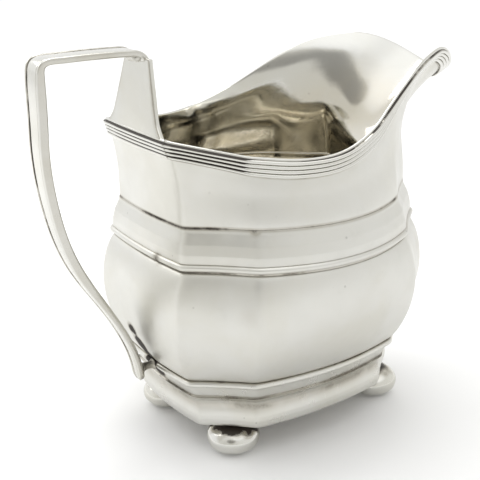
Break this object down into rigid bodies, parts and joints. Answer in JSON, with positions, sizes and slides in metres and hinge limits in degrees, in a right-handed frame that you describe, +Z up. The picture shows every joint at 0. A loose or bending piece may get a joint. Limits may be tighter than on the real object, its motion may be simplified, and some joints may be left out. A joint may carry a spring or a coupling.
{
  "type": "cream jug",
  "caption": "Oblong sheet-silver cream jug with canted corners, bowed sides, a broad reeded lip, a high strap handle and ball feet.",
  "frame": {"origin": "on the table, under the middle of the overall length and width", "axes": "+X towards the pouring lip, +Z up, the handle towards -X; the jug is symmetric about the XZ plane"},
  "size_m": [0.1361, 0.085, 0.115],
  "materials": {
    "silver_sheet": "hand-raised sheet silver, polished, with fine scratches, small dents and grey tarnish in the corners",
    "silver_wire": "drawn reeded silver wire, bright on the reeds and black with oxide between them",
    "silver_moulding": "seamed silver moulding, polished on its edges and dull in its hollows",
    "silver_inside": "unpolished inside sheet with brown-grey tarnish",
    "silver_handle": "strap with a reed along each edge, hand-worn bright, warm grey on its edges",
    "silver_solder": "filed silver solder",
    "silver_foot": "cast silver ball, polished on its sides and worn underneath"
  },
  "bodies": {
    "root": {"neck_shell": "silver_sheet", "rim_wire": "silver_wire", "shoulder_band": "silver_sheet", "belly_shell": "silver_sheet", "foot_band": "silver_moulding", "base_skirt": "silver_moulding", "base_plate": "silver_inside", "handle_riser": "silver_handle", "handle_strap": "silver_handle", "handle_gusset": "silver_solder", "handle_lug": "silver_solder", "ball_foot_1": "silver_foot", "ball_foot_2": "silver_foot", "ball_foot_3": "silver_foot", "ball_foot_4": "silver_foot", "foot_collar_1": "silver_solder", "foot_collar_2": "silver_solder", "foot_collar_3": "silver_solder", "foot_collar_4": "silver_solder"}
  },
  "joints": []
}
